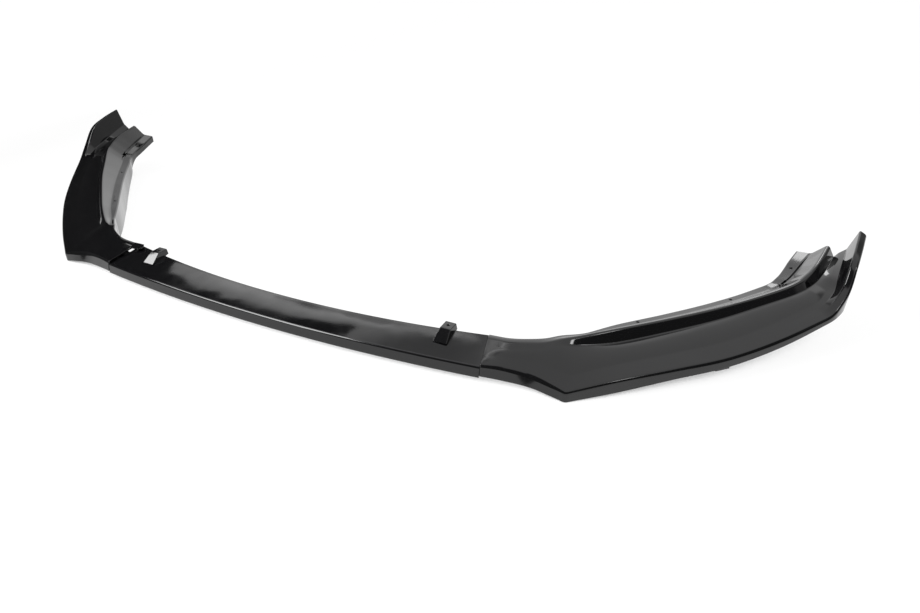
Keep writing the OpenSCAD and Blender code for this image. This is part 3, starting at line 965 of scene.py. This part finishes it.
# The left light bank stands upright, and its curved rear edge leans back. It fades in from that edge.
BANK_X = -1.2
BANK_FOOT_Z = 0.8
BANK_EDGE_Y = 0.215
BANK_LEAN = 0.36
BANK_CURVE = 0.045
BANK_EDGE_LEVEL = 1.4
BANK_GAIN = 13.0
BANK_LEVEL = 3.6
BANK_W = 0.19
BANK_EDGE_HEIGHTS = [-0.16, 0.4, 0.8, 1.2, 1.6, 2.0, 2.5, 3.0, 3.5, 4.0]
BANK_FLAG_WIDTHS = [0.42, 0.42, 0.42, 0.25, 0.02]
BANK_FLAG_GAP = 0.01

# Upright panels and flags across X: the place in X, from and to Y, from and to Z
FRONT_BANK = (BANK_X, -2.2, -0.27, 0.8, 2.7)
FRONT_BANK_LEVEL = 12.0
LEFT_FLAG = (-1.3, -0.25, 0.62, 0, 0.86)
NECK_FLAG = (-0.5, -0.23, -0.08, 0.07, 0.24)

# The rear lamp leans to the right
REAR_LAMP = [(0.47, 1.8, 0.95), (0.70, 1.8, 0.95), (0.72, 1.8, 1.45), (0.50, 1.8, 1.45)]
REAR_LAMP_LEVEL = 7.0


def bare_material(name):
    """A material with no nodes yet."""
    material = bpy.data.materials.new(name)
    material.use_nodes = True
    material.node_tree.nodes.clear()
    return material, material.node_tree.nodes, material.node_tree.links


def sheet(name, corners, material):
    mesh = bpy.data.meshes.new(name)
    mesh.from_pydata(corners, [], [tuple(range(len(corners)))])
    mesh.materials.append(material)
    return new_object(name, mesh)


def out_of_sight(obj):
    """Stage that shows in reflections alone."""
    obj.visible_camera = False
    obj.visible_shadow = False


def studio_floor():
    """White paper that the camera sees glowing, except where the part shelters it."""
    material, nodes, links = bare_material("white_paper")
    math_node = partial(calculated, nodes, links)
    out = nodes.new("ShaderNodeOutputMaterial")
    mix = nodes.new("ShaderNodeMixShader")
    paper = nodes.new("ShaderNodeBsdfDiffuse")
    paper.inputs["Color"].default_value = FLOOR_COLOUR
    glow = nodes.new("ShaderNodeEmission")
    path = nodes.new("ShaderNodeLightPath").outputs
    reflected = math_node("MAXIMUM", path["Is Glossy Ray"], path["Is Transmission Ray"])
    strength = math_node("MULTIPLY_ADD", reflected, FLOOR_REFLECTED - FLOOR_SEEN, FLOOR_SEEN)
    links.new(strength, glow.inputs["Strength"])
    open_air = nodes.new("ShaderNodeAmbientOcclusion")
    open_air.inputs["Distance"].default_value = SHELTER_REACH
    open_air.samples = SHELTER_SAMPLES
    lit = spread(nodes, links, open_air.outputs["AO"], *SHELTER_RANGE, 0, FLOOR_GLOW)
    seen = math_node("MAXIMUM", path["Is Camera Ray"], reflected)
    links.new(math_node("MULTIPLY", seen, lit), mix.inputs["Fac"])
    links.new(paper.outputs[0], mix.inputs[1])
    links.new(glow.outputs[0], mix.inputs[2])
    links.new(mix.outputs[0], out.inputs["Surface"])
    h = FLOOR_HALF
    floor = sheet("studio_floor", [(-h, -h, 0), (h, -h, 0), (h, h, 0), (-h, h, 0)], material)
    floor.location.z = -FLOOR_DROP


def panel(name, corners, strength):
    """A glowing panel. Its strength is a number or a function that makes nodes for one."""
    material, nodes, links = bare_material(name)
    glow = nodes.new("ShaderNodeEmission")
    if callable(strength):
        links.new(strength(nodes, links), glow.inputs["Strength"])
    else:
        glow.inputs["Strength"].default_value = strength
    links.new(glow.outputs[0], nodes.new("ShaderNodeOutputMaterial").inputs["Surface"])
    out_of_sight(sheet(name, corners, material))


def dark_flag(name, corners):
    """A black cloth that keeps a part of the reflections dark."""
    material, _, _, shader = plain_nodes("black_cloth")
    shader.inputs["Base Color"].default_value = (0.02, 0.02, 0.02, 1)
    shader.inputs["Roughness"].default_value = 0.9
    out_of_sight(sheet(name, corners, material))


def across_x(x, y0, y1, z0, z1):
    return [(x, y0, z0), (x, y1, z0), (x, y1, z1), (x, y0, z1)]


def bank_strength(nodes, links):
    """Rises with the distance from the bank's rear edge."""
    math_node = partial(calculated, nodes, links)
    split = nodes.new("ShaderNodeSeparateXYZ")
    links.new(nodes.new("ShaderNodeTexCoord").outputs["Object"], split.inputs[0])
    height = math_node("SUBTRACT", split.outputs["Z"], BANK_FOOT_Z)
    slope = math_node("MULTIPLY_ADD", height, BANK_CURVE, BANK_LEAN)
    edge = math_node("MULTIPLY_ADD", height, slope, BANK_EDGE_Y)
    inset = math_node("SUBTRACT", edge, split.outputs["Y"])
    level = math_node("MULTIPLY_ADD", inset, BANK_GAIN, BANK_EDGE_LEVEL)
    return math_node("MINIMUM", level, BANK_LEVEL)


def light_bank():
    """The bank, and a flag close behind its rear edge that narrows towards the top."""
    edge = [(BANK_EDGE_Y + h * (BANK_LEAN + BANK_CURVE * h), BANK_FOOT_Z + h) for h in BANK_EDGE_HEIGHTS]
    front = [(y - BANK_W, z) for y, z in edge]
    panel("light_bank", [(BANK_X, y, z) for y, z in edge + front[::-1]], bank_strength)
    near = edge[:len(BANK_FLAG_WIDTHS)]
    behind = [(y + width, z) for (y, z), width in zip(near, BANK_FLAG_WIDTHS)]
    dark_flag("bank_flag", [(BANK_X - BANK_FLAG_GAP, y, z) for y, z in near + behind[::-1]])


# Light tents and dark flags further off: level, from and to azimuth and its softness, from and to
# elevation and its softness, all in degrees. Azimuth 0 is behind the lip, and 90 is at its right.
WINDOWS = [
    (0.1, 62, 200, 10, -20, 57, 6),
    (0.1, -200, -60, 8, -20, 60, 6),
    (0.1, -200, -112, 5, 50, 67, 3),
    (0.8, -57, -38, 4, -20, 38, 6),
    (0.6, -47, -30, 5, 42, 60, 4),
    (1.8, -62, -47, 4, 38, 60, 5),
    (1.5, -38, 38, 5, -20, 46, 5),
    (0.3, 26, 48, 7, -20, 47, 5),
    (0.55, 46, 80, 5, 8, 40, 4),
    (12.0, 104, 118, 2, 55, 62, 2),
]
TENT_LEVEL = 1.1


def studio_world():
    """White for the camera, and the tent with its windows for everything else."""
    world = bpy.data.worlds.new("studio")
    bpy.context.scene.world = world
    world.use_nodes = True
    nodes, links = world.node_tree.nodes, world.node_tree.links
    nodes.clear()
    math_node = partial(calculated, nodes, links)
    split = nodes.new("ShaderNodeSeparateXYZ")
    links.new(nodes.new("ShaderNodeTexCoord").outputs["Generated"], split.inputs[0])
    x, y, z = split.outputs
    azimuth = math_node("DEGREES", math_node("ARCTAN2", x, y))
    elevation = math_node("DEGREES", math_node("ARCSINE", z))

    def inside(value, low, high, soft):
        rising = spread(nodes, links, value, low - soft, low + soft, 0, 1)
        falling = spread(nodes, links, value, high - soft, high + soft, 1, 0)
        return math_node("MULTIPLY", rising, falling)

    light = TENT_LEVEL
    for level, az0, az1, az_soft, el0, el1, el_soft in WINDOWS:
        across, upwards = inside(azimuth, az0, az1, az_soft), inside(elevation, el0, el1, el_soft)
        share = math_node("MULTIPLY", across, upwards)
        light = math_node("MULTIPLY_ADD", share, math_node("SUBTRACT", level, light), light)
    path = nodes.new("ShaderNodeLightPath")
    tent = nodes.new("ShaderNodeBackground")
    links.new(light, tent.inputs["Strength"])
    tent.inputs["Color"].default_value = (1, 1, 1, 1)
    white = nodes.new("ShaderNodeBackground")
    white.inputs["Color"].default_value = (1, 1, 1, 1)
    mix = nodes.new("ShaderNodeMixShader")
    links.new(path.outputs["Is Camera Ray"], mix.inputs["Fac"])
    links.new(tent.outputs[0], mix.inputs[1])
    links.new(white.outputs[0], mix.inputs[2])
    links.new(mix.outputs[0], nodes.new("ShaderNodeOutputWorld").inputs["Surface"])


CAMERA_PLACE = (0.7090, -0.9839, 0.6184)
CAMERA_TILT = 59.24
CAMERA_TURN = 25.76
SENSOR_W = 36.0
FOCAL_LENGTH = 27.39


def camera():
    data = bpy.data.cameras.new("camera")
    data.sensor_width = SENSOR_W
    data.sensor_fit = "HORIZONTAL"
    data.lens = FOCAL_LENGTH
    obj = bpy.data.objects.new("camera", data)
    bpy.context.collection.objects.link(obj)
    obj.location = CAMERA_PLACE
    obj.rotation_euler = (math.radians(CAMERA_TILT), 0, math.radians(CAMERA_TURN))
    bpy.context.scene.camera = obj


studio_floor()
studio_world()
light_bank()
panel("front_bank", across_x(*FRONT_BANK), FRONT_BANK_LEVEL)
panel("rear_lamp", REAR_LAMP, REAR_LAMP_LEVEL)
dark_flag("neck_flag", across_x(*NECK_FLAG))
dark_flag("left_flag", across_x(*LEFT_FLAG))
camera()
bpy.context.scene.view_settings.view_transform = "Standard"
